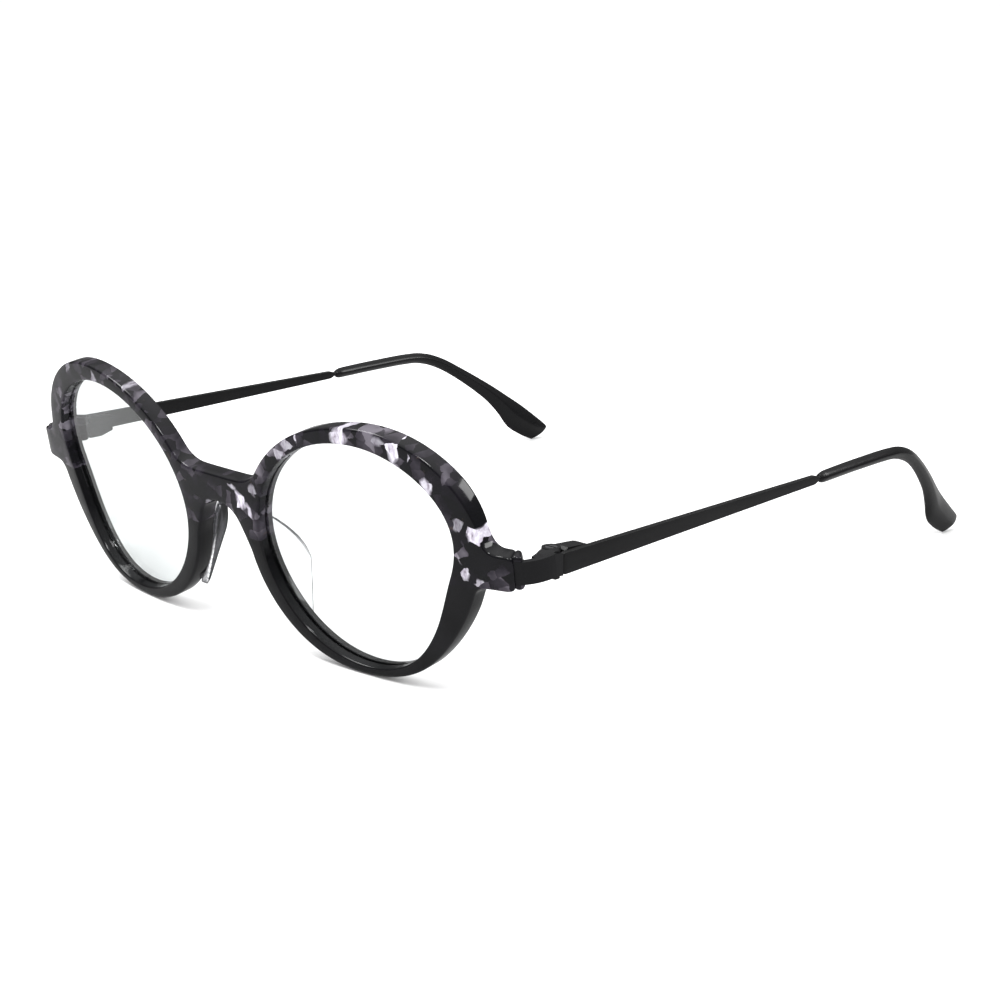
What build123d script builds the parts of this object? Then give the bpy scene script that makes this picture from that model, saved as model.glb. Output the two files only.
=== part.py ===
from build123d import *
import os
from math import atan, cos, degrees, pi, radians, sin, sqrt, tan

# Round two-tone acetate eyeglasses on thin metal temples.
# +X is the wearer's left, the front faces -Y, the temples run to +Y and +Z is up.
# Millimetres and degrees. Everything is made on the wearer's left and mirrored.

# Front: a bent sheet, drawn flat as (across, up) about the lens centres, then tilted.
LENS_SPACING = 67.0
LENS_HEIGHT = 23.146
SHEET_BEND = 307.0
SHEET_THICK = 3.8
TILT = 8.8
SPLIT_UP = -1.7
# Radii every 30 degrees about the lens centre, from the temple side round over the top.
EYE_RADII = (21.5, 24.0, 22.3, 20.7, 20.5, 21.6, 22.7, 22.2, 21.8, 21.7, 21.6, 20.2)
RIM_RADII = (26.9, 29.1, 26.5, 23.7, 23.2, 24.5, 26.1, 25.6, 24.4, 23.4, 23.7, 24.0)

# Bridge: flat on top, arched below, flowing into the two rims.
BRIDGE_TOP = 9.4
BRIDGE_FLAT = 6.6
BRIDGE_SHOULDER = (13.6, 13.1)
BRIDGE_ARCH = ((0.0, 3.9), (2.5, 3.5), (4.4, 2.3), (6.2, -0.8), (7.4, -3.6))
BRIDGE_INSIDE = (11.5, -4.0)

# Lug: the rim's side swells into a block that turns back round the corner.
LUG_TOP = 4.9
LUG_BOTTOM = -1.6
LUG_TURN_ACROSS = 64.9
LUG_TURN_RADIUS = 8.0
LUG_SKIN_END = 30.0
LUG_END = 46.0
LUG_INSIDE = 56.0
LUG_TOP_FLARE = ((60.3, 10.4), (61.7, 6.9), (64.2, LUG_TOP))
LUG_BOTTOM_FLARE = ((62.2, LUG_BOTTOM), (57.9, -4.4))

# Metal strip let into the lug, under a skin of acetate.
STRIP_THICK = 1.1
STRIP_SKIN = 0.6
STRIP_HEIGHT = 4.1
STRIP_INNER_END = 59.8
RIVET_ACROSS = (61.4, 64.0)
RIVET_RADIUS = 0.5
RIVET_HEAD_RADIUS = 0.85
RIVET_HEAD_THICK = 0.4

# Lens: a thin curved sheet with a chamfered edge in a groove.
LENS_DEPTH = 1.45
LENS_THICK = 1.2
BEVEL_DEPTH = 0.3
BEVEL_THICK = 0.6
BEVEL_OUT = 0.6
BEVEL_CHAMFER = 0.25

# Hinge with three knuckles on an upright screw.
HINGE_BACK = 14.1
HINGE_HEIGHT = 26.45
KNUCKLE_RADIUS = 1.65
KNUCKLE_WALL_GAP = 0.05
STACK_HEIGHT = 5.0
MIDDLE_HEIGHT = 1.9
LEVEL_GAP = 0.05
SWING_GAP = 0.12
SCREW_RADIUS = 0.6
SCREW_CLEARANCE = 0.05
SCREW_HEAD_RADIUS = 1.05
SCREW_HEAD_THICK = 0.5
SLOT_WIDTH = 0.3
SLOT_DEPTH = 0.25
SEAM_GAP = 0.1
LEAF_BLOCK_END = 21.6
LEAF_BLOCK_STEP = 18.6
LEAF_BLOCK_DEPTH = 1.25
WEB_PLAN = ((-0.7, -0.6), (-0.7, -2.6), (-0.2, -4.6), (1.2, -4.7), (2.25, -2.2), (2.25, -0.3))
WEB_FRONT = 5.2
WEB_WAIST = 2.9
WEB_REACH = 1.4

# Temple blade and the wire that its tip is pushed on to.
NECK_BACK = 88.6
BLADE_HALF_FRONT = 1.95
BLADE_HALF_NECK = 0.9
NECK_HEIGHT = 26.3
WIRE_HALF = 0.6
WIRE_END = 146.0

# Tip: side outline as (back, up), and a plan line that bends inward behind the ear.
TIP_TOP = (
    (89.0, 27.5),
    (101.0, 27.75),
    (112.0, 27.6),
    (118.0, 26.9),
    (124.0, 24.7),
    (131.0, 21.0),
    (142.0, 14.2),
    (156.4, 3.7),
)
TIP_BOTTOM = (
    (143.0, 6.0),
    (141.0, 9.8),
    (137.0, 14.0),
    (130.0, 18.6),
    (123.0, 22.2),
    (117.0, 24.4),
    (112.0, 25.1),
    (101.0, 25.2),
    (89.0, 25.1),
)
TIP_FOOT = (151.4, 0.0)
TIP_THICK = 2.7
TIP_BEND_BACK = 122.0
TIP_BEND_SLOPE = 0.3
TIP_BEND_RADIUS = 45.0
TIP_END = 158.0

# Nose pad: a clear wing behind the nasal side of each rim.
PAD_PLAN = ((7.2, 1.0), (8.6, 4.4), (11.4, 8.6), (12.4, 9.3), (13.2, 8.9), (12.9, 7.6), (10.9, 3.6), (10.6, 1.0))
PAD_SIDE = ((0.0, 25.2), (3.4, 24.6), (6.4, 22.0), (8.4, 18.4), (9.0, 14.4), (8.4, 9.6), (6.8, 6.9), (0.0, 6.2))
PAD_LEAN = (0.27, -0.22, -1.0)
PAD_PLAN_HEIGHT = 17.0

BIG = 60.0
CENTRE_BACK = -76.142
FRONT_SAG = SHEET_BEND - sqrt(SHEET_BEND**2 - (LENS_SPACING / 2) ** 2)
STRIP_MIDDLE = (LUG_TOP + LUG_BOTTOM) / 2
TURN_ANGLE = degrees(atan(LUG_TURN_ACROSS / sqrt(SHEET_BEND**2 - LUG_TURN_ACROSS**2)))


def sheet_depth(across):
    """Depth of the untilted front surface at a distance from the middle."""
    return SHEET_BEND - sqrt(SHEET_BEND**2 - across**2) - FRONT_SAG


TURN_CENTRE = (
    LUG_TURN_ACROSS - LUG_TURN_RADIUS * sin(radians(TURN_ANGLE)),
    sheet_depth(LUG_TURN_ACROSS) + LUG_TURN_RADIUS * cos(radians(TURN_ANGLE)),
)
STRIP_INNER_RADIUS = LUG_TURN_RADIUS - STRIP_SKIN - STRIP_THICK
STRIP_INSIDE = TURN_CENTRE[0] + STRIP_INNER_RADIUS
STRIP_OUTSIDE = STRIP_INSIDE + STRIP_THICK
HINGE_ACROSS = STRIP_INSIDE - KNUCKLE_RADIUS - KNUCKLE_WALL_GAP


def tilt(part):
    """Tilt a piece of the flat-drawn front, its top forward, and lift it to its height."""
    return Pos(0, 0, LENS_HEIGHT) * (Rot(TILT, 0, 0) * part)


def tilted_point(depth, up):
    """(back, up) of a point of the flat-drawn front after the tilt."""
    angle = radians(TILT)
    back = depth * cos(angle) - up * sin(angle)
    return back, LENS_HEIGHT + depth * sin(angle) + up * cos(angle)


def ring_face(radii, grow=0.0):
    """Closed curve through radii spaced evenly round one lens centre."""
    step = 2 * pi / len(radii)
    points = []
    for place, radius in enumerate(radii):
        reach = radius + grow
        points.append((LENS_SPACING / 2 + reach * cos(place * step), reach * sin(place * step)))
    return Plane.XZ * make_face(Spline(*points, periodic=True))


def through(face):
    """Push a face of the front view right through the front, both ways."""
    return extrude(face, amount=BIG, both=True)


def bent_layer(depth, thick):
    """Layer of the bent front between two depths."""
    outer = Cylinder(SHEET_BEND - depth, 2 * BIG)
    inner = Cylinder(SHEET_BEND - depth - thick, 3 * BIG)
    window = Pos(0, -BIG, 0) * Box(3 * BIG, 2 * BIG, 2 * BIG)
    return Pos(0, SHEET_BEND - FRONT_SAG, 0) * (outer - inner) & (Pos(0, BIG, 0) * window)


def bridge_face():
    """Front view of the bridge, from the middle to the inside of the left rim."""
    shoulder = Vector(*BRIDGE_SHOULDER)
    top = Line((0, BRIDGE_TOP), (BRIDGE_FLAT, BRIDGE_TOP))
    rise = Spline((BRIDGE_FLAT, BRIDGE_TOP), shoulder, tangents=[(1, 0), (1, 0.95)])
    arch = Spline(*BRIDGE_ARCH, tangents=[(1, 0), (0.42, -1)])
    side = Polyline(shoulder, BRIDGE_INSIDE, BRIDGE_ARCH[-1])
    middle = Line(BRIDGE_ARCH[0], (0, BRIDGE_TOP))
    return Plane.XZ * make_face([top, rise, side, arch, middle])


def lug_face():
    """Front view of the lug and its two flares into the rim."""
    far = LUG_TURN_ACROSS + BIG
    upper = Spline(*LUG_TOP_FLARE, tangents=[(0.35, -1), (1, 0)])
    lower = Spline(*LUG_BOTTOM_FLARE, tangents=[(-1, 0), (-0.45, -1)])
    end = Polyline(LUG_TOP_FLARE[-1], (far, LUG_TOP), (far, LUG_BOTTOM), LUG_BOTTOM_FLARE[0])
    low_inside = (LUG_INSIDE, LUG_BOTTOM_FLARE[-1][1])
    high_inside = (LUG_INSIDE, LUG_TOP_FLARE[0][1])
    inside = Polyline(LUG_BOTTOM_FLARE[-1], low_inside, high_inside, LUG_TOP_FLARE[0])
    return Plane.XZ * make_face([upper, end, lower, inside])


def turn_point(radius, angle):
    """Plan point on an arc of the lug's turn, the angle counted from straight ahead."""
    return (
        TURN_CENTRE[0] + radius * sin(radians(angle)),
        TURN_CENTRE[1] - radius * cos(radians(angle)),
    )


def turning_band(skin, thick, inner_end, end_angle):
    """Plan of a band that follows the front surface and then the turn, at a depth below it."""
    near = LUG_TURN_RADIUS - skin
    far = near - thick
    start = (inner_end, sheet_depth(inner_end) + skin)
    back = (inner_end, sheet_depth(inner_end) + skin + thick)
    half = (TURN_ANGLE + end_angle) / 2
    outer = ThreePointArc(turn_point(near, TURN_ANGLE), turn_point(near, half), turn_point(near, end_angle))
    inner = ThreePointArc(turn_point(far, end_angle), turn_point(far, half), turn_point(far, TURN_ANGLE))
    edges = [
        Line(start, outer @ 0),
        outer,
        Line(outer @ 1, inner @ 0),
        inner,
        Line(inner @ 1, back),
        Line(back, start),
    ]
    return make_face(edges)


def band_solid(skin, thick, inner_end, end_angle, low, high):
    """A turning band raised between two heights of the flat-drawn front."""
    return Pos(0, 0, low) * extrude(turning_band(skin, thick, inner_end, end_angle), amount=high - low)


def lug():
    """Acetate block that carries the metal strip round the corner."""
    low = LUG_BOTTOM_FLARE[-1][1] - 1.0
    high = LUG_TOP_FLARE[0][1] + 1.0
    full = band_solid(0, SHEET_THICK, LUG_INSIDE, LUG_SKIN_END, low, high)
    step = band_solid(STRIP_SKIN, SHEET_THICK - STRIP_SKIN, LUG_INSIDE, LUG_END, low, high)
    return (full + step) & through(lug_face())


def strip_in_front():
    """Part of the metal strip that lies in the lug and turns the corner."""
    half = STRIP_HEIGHT / 2
    return band_solid(STRIP_SKIN, STRIP_THICK, STRIP_INNER_END, 90.0, STRIP_MIDDLE - half, STRIP_MIDDLE + half)


def rivet(across):
    """Countersunk pin from the back of the lug into the strip."""
    start = sheet_depth(across) + STRIP_SKIN
    length = SHEET_THICK - STRIP_SKIN
    pin = Cylinder(RIVET_RADIUS, length, align=(Align.CENTER, Align.CENTER, Align.MIN))
    head = Pos(0, 0, length - RIVET_HEAD_THICK) * Cone(
        RIVET_RADIUS, RIVET_HEAD_RADIUS, RIVET_HEAD_THICK, align=(Align.CENTER, Align.CENTER, Align.MIN)
    )
    return Pos(across, start, STRIP_MIDDLE) * (Rot(-90, 0, 0) * (pin + head))


def rivets():
    """The pins of one lug, still in the flat-drawn front."""
    return [rivet(across) for across in RIVET_ACROSS]


def lens():
    """Lens with a chamfered tongue round its edge, still in the flat-drawn front."""
    body = bent_layer(LENS_DEPTH, LENS_THICK) & through(ring_face(EYE_RADII))
    tongue = bent_layer(LENS_DEPTH + BEVEL_DEPTH, BEVEL_THICK) & through(ring_face(EYE_RADII, BEVEL_OUT))
    return body + tongue


def front_sheet():
    """Both rims, the bridge and the lugs as one sheet with its lens openings and grooves."""
    left_view = through(ring_face(RIM_RADII)) + through(bridge_face())
    left = (left_view & bent_layer(0, SHEET_THICK)) + lug()
    left = left - through(ring_face(EYE_RADII)) - lens() - strip_in_front()
    for pin in rivets():
        left = left - pin
    return left


def split_front(half):
    """The mottled brow piece, whole, and the plain lower rim of the left side."""
    above = Pos(0, 0, SPLIT_UP + BIG) * Box(4 * BIG, 4 * BIG, 2 * BIG)
    upper = half & above
    lower = half - above
    return upper + mirror(upper, about=Plane.YZ), lower


def endpiece():
    """Metal strip: a tongue in the lug, the turn, and the straight end that carries the hinge."""
    half = STRIP_HEIGHT / 2
    turned = strip_in_front()
    for pin in rivets():
        turned = turned - pin
    lower = tilted_point(TURN_CENTRE[1] - 0.4, STRIP_MIDDLE - half)
    upper = tilted_point(TURN_CENTRE[1] - 0.4, STRIP_MIDDLE + half)
    seam = HINGE_BACK - SEAM_GAP / 2
    corners = [
        lower,
        (seam, HINGE_HEIGHT - BLADE_HALF_FRONT),
        (seam, HINGE_HEIGHT + BLADE_HALF_FRONT),
        upper,
    ]
    return tilt(turned) + side_plate(corners, STRIP_INSIDE, STRIP_OUTSIDE)


def side_plate(corners, inside, outside):
    """Plate with a given side view, (back, up), between two distances from the middle."""
    face = Plane.YZ * make_face(Polyline(*corners, close=True))
    return Pos(inside, 0, 0) * extrude(face, amount=outside - inside)


def barrel(radius, low, high):
    """Upright cylinder on the hinge axis between two heights."""
    return Pos(HINGE_ACROSS, HINGE_BACK, low) * Cylinder(
        radius, high - low, align=(Align.CENTER, Align.CENTER, Align.MIN)
    )


STACK_LOW = HINGE_HEIGHT - STACK_HEIGHT / 2
STACK_HIGH = HINGE_HEIGHT + STACK_HEIGHT / 2
MIDDLE_LOW = HINGE_HEIGHT - MIDDLE_HEIGHT / 2
MIDDLE_HIGH = HINGE_HEIGHT + MIDDLE_HEIGHT / 2


def screw():
    """Hinge screw with a slotted head sunk in the top knuckle."""
    shank = barrel(SCREW_RADIUS, STACK_LOW, STACK_HIGH - SCREW_HEAD_THICK)
    head = barrel(SCREW_HEAD_RADIUS, STACK_HIGH - SCREW_HEAD_THICK, STACK_HIGH)
    slot = Pos(HINGE_ACROSS, HINGE_BACK, STACK_HIGH) * Box(4 * SCREW_HEAD_RADIUS, SLOT_WIDTH, 2 * SLOT_DEPTH)
    return shank + head - slot


def screw_hole():
    """Room for the screw through all three knuckles."""
    bore = barrel(SCREW_RADIUS + SCREW_CLEARANCE, STACK_LOW - 1, STACK_HIGH + 1)
    return bore + barrel(SCREW_HEAD_RADIUS + SCREW_CLEARANCE, STACK_HIGH - SCREW_HEAD_THICK, STACK_HIGH + 1)


def front_leaf(strip):
    """Top and bottom knuckles on a web that is soldered to the strip."""
    web_plan = [(HINGE_ACROSS + across, HINGE_BACK + back) for across, back in WEB_PLAN]
    web = Pos(0, 0, STACK_LOW) * extrude(make_face(Polyline(*web_plan, close=True)), amount=STACK_HEIGHT)
    profile = ((WEB_FRONT, 1.7), (WEB_WAIST, 1.9), (WEB_REACH, STACK_HEIGHT / 2), (-KNUCKLE_RADIUS, STACK_HEIGHT / 2))
    over = [(HINGE_BACK - front, HINGE_HEIGHT + half) for front, half in profile]
    under = [(HINGE_BACK - front, HINGE_HEIGHT - half) for front, half in reversed(profile)]
    crest = Polyline(*over, *under, close=True)
    leaf = web & extrude(Plane.YZ * make_face(crest), amount=2 * BIG)
    leaf = leaf + barrel(KNUCKLE_RADIUS, STACK_LOW, STACK_HIGH)
    room = barrel(KNUCKLE_RADIUS + SWING_GAP, MIDDLE_LOW - LEVEL_GAP, MIDDLE_HIGH + LEVEL_GAP)
    return leaf - room - screw_hole() - strip


def temple_leaf():
    """Middle knuckle on a block that is soldered to the temple blade."""
    start = HINGE_BACK + KNUCKLE_RADIUS + SWING_GAP
    side = [
        (start, STACK_LOW + 0.1),
        (LEAF_BLOCK_STEP, STACK_LOW + 0.1),
        (LEAF_BLOCK_END, HINGE_HEIGHT - 1.6),
        (LEAF_BLOCK_END, HINGE_HEIGHT + 1.6),
        (LEAF_BLOCK_END - 0.8, STACK_HIGH - 0.7),
        (start + 0.5, STACK_HIGH - 0.3),
        (start, STACK_HIGH - 0.8),
    ]
    block = side_plate(side, HINGE_ACROSS - LEAF_BLOCK_DEPTH, STRIP_INSIDE)
    neck = Pos(HINGE_ACROSS - LEAF_BLOCK_DEPTH, HINGE_BACK, MIDDLE_LOW) * Box(
        STRIP_INSIDE - HINGE_ACROSS + LEAF_BLOCK_DEPTH,
        KNUCKLE_RADIUS + 1.0,
        MIDDLE_HEIGHT,
        align=(Align.MIN, Align.MIN, Align.MIN),
    )
    reach = barrel(STRIP_INSIDE - HINGE_ACROSS, MIDDLE_LOW, MIDDLE_HIGH)
    past_axis = Pos(0, HINGE_BACK + BIG, 0) * Box(4 * BIG, 2 * BIG, 4 * BIG)
    knuckle = barrel(KNUCKLE_RADIUS, MIDDLE_LOW, MIDDLE_HIGH)
    return block + (neck & past_axis) + (reach & past_axis & neck) + knuckle - screw_hole()


def tip_plan(thick, start, end):
    """Plan of a band along the temple that bends inward behind the ear."""
    middle = STRIP_INSIDE + STRIP_THICK / 2
    slant = TIP_BEND_SLOPE * (end - TIP_BEND_BACK)
    angle = atan(TIP_BEND_SLOPE)
    sides = []
    for away in (thick / 2, -thick / 2):
        bend = (middle + away, TIP_BEND_BACK + away * tan(angle / 2))
        last = (middle + away / cos(angle) - slant, end)
        radius = TIP_BEND_RADIUS + away
        sides.append(FilletPolyline((middle + away, start), bend, last, radius=radius))
    outer, inner = sides
    return make_face([outer, inner, Line(outer @ 0, inner @ 0), Line(outer @ 1, inner @ 1)])


def core_wire():
    """Square wire that runs down the middle of the tip."""
    upper = [(NECK_BACK - 1.0, NECK_HEIGHT + WIRE_HALF)]
    lower = [(NECK_BACK - 1.0, NECK_HEIGHT - WIRE_HALF)]
    for back, up in ((112.0, 26.35), (118.0, 25.7), (123.5, 23.6), (131.0, 19.4), (WIRE_END - 6.0, 11.9)):
        upper.append((back + 0.3, up + WIRE_HALF))
        lower.append((back - 0.3, up - WIRE_HALF))
    rod_side = Plane.YZ * make_face(
        [Spline(*upper), Line(upper[-1], lower[-1]), Spline(*lower), Line(lower[0], upper[0])]
    )
    rod_plan = extrude(tip_plan(2 * WIRE_HALF - 0.2, NECK_BACK - 2.0, TIP_END), amount=BIG)
    return extrude(rod_side, amount=2 * BIG) & rod_plan


def blade():
    """Flat metal temple blade, from the hinge seam to the neck."""
    start = HINGE_BACK + SEAM_GAP / 2
    side = [
        (start, HINGE_HEIGHT - BLADE_HALF_FRONT),
        (NECK_BACK - 0.8, NECK_HEIGHT - BLADE_HALF_NECK),
        (NECK_BACK, NECK_HEIGHT - WIRE_HALF),
        (NECK_BACK, NECK_HEIGHT + WIRE_HALF),
        (NECK_BACK - 0.8, NECK_HEIGHT + BLADE_HALF_NECK),
        (start, HINGE_HEIGHT + BLADE_HALF_FRONT),
    ]
    return side_plate(side, STRIP_INSIDE, STRIP_OUTSIDE)


def tip(wire):
    """Acetate tip pushed on to the wire, with a pointed paddle end."""
    top = Spline(*TIP_TOP)
    bottom = Spline(*TIP_BOTTOM)
    end = Polyline(TIP_TOP[-1], TIP_FOOT, TIP_BOTTOM[0])
    start = Line(TIP_BOTTOM[-1], TIP_TOP[0])
    side = Plane.YZ * make_face([top, end, bottom, start])
    plan = extrude(tip_plan(TIP_THICK, TIP_TOP[0][0] - 1.0, TIP_END), amount=BIG)
    return (extrude(side, amount=2 * BIG) & plan) - wire


def nose_pad():
    """Clear pad behind the rim: a plan wedge drawn down the lean of the rim, cut to its side view."""
    plan = Pos(0, 0, PAD_PLAN_HEIGHT) * make_face(Polyline(*PAD_PLAN, close=True))
    wedge = extrude(plan, amount=BIG / 3, dir=PAD_LEAN)
    wedge = wedge + extrude(plan, amount=BIG / 4, dir=[-part for part in PAD_LEAN])
    side = Plane.YZ * make_face([Spline(*PAD_SIDE), Line(PAD_SIDE[-1], PAD_SIDE[0])])
    return wedge & extrude(side, amount=BIG) & tilt(bent_layer(SHEET_THICK, BIG))


def save(part, name):
    """Write one node."""
    export_step(Pos(0, CENTRE_BACK, 0) * part, f"parts/{name}.step")
    print(name, round(part.volume, 2), len(part.solids()))


def both_sides(part, name):
    """Write a piece of the wearer's left and its mirror image on the right."""
    save(part, f"{name}_left")
    save(mirror(part, about=Plane.YZ), f"{name}_right")


def main():
    os.makedirs("parts", exist_ok=True)
    half = front_sheet()
    brow, lower = split_front(half)
    strip = endpiece()
    wire = core_wire()
    pins = rivets()
    save(tilt(brow), "brow_acetate")
    both_sides(tilt(lower), "rim_lower")
    both_sides(tilt(lens()), "lens")
    both_sides(nose_pad(), "nose_pad")
    both_sides(strip, "endpiece")
    both_sides(tilt(pins[0] + pins[1]), "lug_rivets")
    both_sides(front_leaf(strip), "hinge_front_leaf")
    both_sides(temple_leaf(), "hinge_temple_leaf")
    both_sides(screw(), "hinge_screw")
    both_sides(blade() + wire, "temple")
    both_sides(tip(wire), "temple_tip")


main()
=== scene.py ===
import math

import bmesh
import bpy
import numpy as np
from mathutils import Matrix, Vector
from mathutils.geometry import delaunay_2d_cdt

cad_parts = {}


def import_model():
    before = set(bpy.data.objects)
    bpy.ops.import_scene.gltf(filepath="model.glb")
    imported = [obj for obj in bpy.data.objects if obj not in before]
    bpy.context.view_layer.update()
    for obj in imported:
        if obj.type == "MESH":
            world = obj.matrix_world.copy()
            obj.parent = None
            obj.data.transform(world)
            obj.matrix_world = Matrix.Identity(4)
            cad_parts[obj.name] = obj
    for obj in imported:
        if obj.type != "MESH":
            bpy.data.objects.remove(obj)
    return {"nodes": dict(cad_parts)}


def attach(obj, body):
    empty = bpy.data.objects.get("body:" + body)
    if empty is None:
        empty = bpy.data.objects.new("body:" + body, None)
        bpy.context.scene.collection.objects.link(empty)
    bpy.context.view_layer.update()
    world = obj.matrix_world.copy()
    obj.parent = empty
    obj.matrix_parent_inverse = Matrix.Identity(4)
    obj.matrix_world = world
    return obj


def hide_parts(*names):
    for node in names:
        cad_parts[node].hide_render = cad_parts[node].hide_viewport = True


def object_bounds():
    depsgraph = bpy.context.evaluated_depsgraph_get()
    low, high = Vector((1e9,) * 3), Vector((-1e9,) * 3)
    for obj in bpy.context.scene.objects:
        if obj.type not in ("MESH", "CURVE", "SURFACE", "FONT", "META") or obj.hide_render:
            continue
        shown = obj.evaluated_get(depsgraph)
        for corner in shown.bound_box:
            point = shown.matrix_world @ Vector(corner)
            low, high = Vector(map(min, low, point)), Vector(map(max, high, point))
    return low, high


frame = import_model()
cad_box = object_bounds()
nodes = frame["nodes"]

# Round two-tone acetate eyeglasses. Shapes are worked out in millimetres and stored in metres.
MM = 0.001
CENTRE_BACK = -76.142

# The front: a bent sheet, drawn flat as (across, up) about the lens centres, then tilted.
LENS_ACROSS = 33.5
LENS_HEIGHT = 23.146
SHEET_BEND = 307.0
SHEET_THICK = 3.8
TILT = math.radians(8.8)
SPLIT_UP = -1.7
FRONT_SAG = SHEET_BEND - math.sqrt(SHEET_BEND**2 - LENS_ACROSS**2)
SHEET_MIDDLE = SHEET_BEND - FRONT_SAG

# The lug turns back round the corner on an arc about an upright line.
TURN_ACROSS = 64.9
TURN_RADIUS = 8.0
TURN_START = math.asin(TURN_ACROSS / SHEET_BEND)
TURN_X = TURN_ACROSS - TURN_RADIUS * math.sin(TURN_START)
TURN_Y = SHEET_MIDDLE - SHEET_BEND * math.cos(TURN_START) + TURN_RADIUS * math.cos(TURN_START)
TURN_BLEND_FROM = 57.5

# Reading the outlines of the front surface from the CAD nodes.
FRONT_TOLERANCE = 0.25
BESIDE_GAP = 0.04
LOST_EDGE_REACH = 5.0
CLOSED_WITHIN = 0.02
SHORTEST_LOOP = 20


# ---------------------------------------------------------------- shape of the bent front

def flat_front(point):
    """(across, up, depth) in the flat-drawn front of a point of the frame."""
    x = point[0] / MM
    y = point[1] / MM - CENTRE_BACK
    z = point[2] / MM - LENS_HEIGHT
    back = y * math.cos(TILT) + z * math.sin(TILT)
    up = z * math.cos(TILT) - y * math.sin(TILT)
    side = math.copysign(1.0, x)
    turn = math.atan2(abs(x) - TURN_X, TURN_Y - back)
    if abs(x) > TURN_X and turn > TURN_START:
        depth = TURN_RADIUS - math.hypot(abs(x) - TURN_X, TURN_Y - back)
        return side * (TURN_ACROSS + TURN_RADIUS * (turn - TURN_START)), up, depth
    return x, up, SHEET_BEND - math.hypot(x, SHEET_MIDDLE - back)


def bent_front(across, up, depth):
    """Point of the frame, in metres, of a place in the flat-drawn front."""
    side = math.copysign(1.0, across)
    reach = abs(across)
    if reach <= TURN_ACROSS:
        part = min(max((reach - TURN_BLEND_FROM) / (TURN_ACROSS - TURN_BLEND_FROM), 0.0), 1.0)
        x = reach - part * depth * reach / SHEET_BEND
        back = SHEET_MIDDLE - math.sqrt((SHEET_BEND - depth) ** 2 - x * x)
    else:
        turn = TURN_START + (reach - TURN_ACROSS) / TURN_RADIUS
        x = TURN_X + (TURN_RADIUS - depth) * math.sin(turn)
        back = TURN_Y - (TURN_RADIUS - depth) * math.cos(turn)
    y = back * math.cos(TILT) - up * math.sin(TILT) + CENTRE_BACK
    z = back * math.sin(TILT) + up * math.cos(TILT) + LENS_HEIGHT
    return Vector((side * x * MM, y * MM, z * MM))


def front_outlines(names):
    """Closed outlines of the front surface, as (across, up), read from the CAD nodes."""
    triangles = []
    edges = []
    for name in names:
        mesh = nodes[name].data
        flat = [flat_front(v.co) for v in mesh.vertices]
        keys = [(round(p[0], 3), round(p[1], 3)) for p in flat]
        used = {}
        for polygon in mesh.polygons:
            ring = list(polygon.vertices)
            if max(abs(flat[i][2]) for i in ring) > FRONT_TOLERANCE:
                continue
            triangles.append([flat[i][:2] for i in ring])
            for a, b in zip(ring, ring[1:] + ring[:1]):
                used[keys[a], keys[b]] = (flat[a][:2], flat[b][:2])
        edges += [ends for (a, b), ends in used.items() if a != b and (b, a) not in used]
    corners = np.array(triangles)
    return chained([ends for ends in edges if not covered(beside(*ends), corners)])


def beside(start, end):
    """A point just outside the middle of a directed edge."""
    along = Vector(end) - Vector(start)
    side = Vector((along.y, -along.x)).normalized()
    return (Vector(start) + Vector(end)) / 2 + BESIDE_GAP * side


def covered(point, corners):
    """Whether a point lies in any of the triangles."""
    signs = []
    for i in range(3):
        a = corners[:, i]
        b = corners[:, (i + 1) % 3]
        along = b - a
        signs.append(along[:, 0] * (point.y - a[:, 1]) - along[:, 1] * (point.x - a[:, 0]))
    signs = np.array(signs)
    return bool(np.any(np.all(signs >= 0, axis=0) | np.all(signs <= 0, axis=0)))


def chained(edges):
    """Joins directed edges into closed loops by their nearest ends, past a lost edge or two."""
    loops = []
    left = list(edges)
    while left:
        start, here = left.pop()
        loop = [start]
        while left and (len(loop) < 4 or math.dist(here, start) > CLOSED_WITHIN):
            gaps = [math.dist(here, edge[0]) for edge in left]
            best = int(np.argmin(gaps))
            home = len(loop) > SHORTEST_LOOP and math.dist(here, start) <= gaps[best]
            if home or gaps[best] > LOST_EDGE_REACH:
                break
            a, b = left.pop(best)
            loop.append(a)
            here = b
        if len(loop) > SHORTEST_LOOP:
            loops.append(loop)
    return loops


def resampled(loop, spacing, smoothing=6):
    """A closed outline evenly spaced, with its facets and corners smoothed."""
    points = [Vector(p) for p in loop]
    lengths = np.cumsum([0.0] + [(q - p).length for p, q in zip(points, points[1:] + points[:1])])
    places = np.linspace(0, lengths[-1], round(lengths[-1] / spacing) + 1)[:-1]
    xs = np.interp(places, lengths, [p.x for p in points] + [points[0].x])
    ys = np.interp(places, lengths, [p.y for p in points] + [points[0].y])
    for _ in range(smoothing):
        xs = (np.roll(xs, 1) + 2 * xs + np.roll(xs, -1)) / 4
        ys = (np.roll(ys, 1) + 2 * ys + np.roll(ys, -1)) / 4
    return [Vector((x, y)) for x, y in zip(xs, ys)]


def inset(loop, amount):
    """The outline moved to its left, which is into the material, by an amount."""
    count = len(loop)
    moved = []
    for i, p in enumerate(loop):
        before = (p - loop[i - 1]).normalized()
        after = (loop[(i + 1) % count] - p).normalized()
        n1 = Vector((-before.y, before.x))
        n2 = Vector((-after.y, after.x))
        middle = (n1 + n2).normalized()
        moved.append(p + middle * (amount / max(middle.dot(n1), 0.6)))
    return moved


def area(loop):
    """Signed area of an outline."""
    return sum(a.x * b.y - b.x * a.y for a, b in zip(loop, loop[1:] + loop[:1])) / 2


def inside(point, loop):
    """Whether a point is inside an outline."""
    found = False
    for a, b in zip(loop, loop[1:] + loop[:1]):
        if (a.y > point.y) != (b.y > point.y):
            if point.x < a.x + (point.y - a.y) * (b.x - a.x) / (b.y - a.y):
                found = not found
    return found


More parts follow.
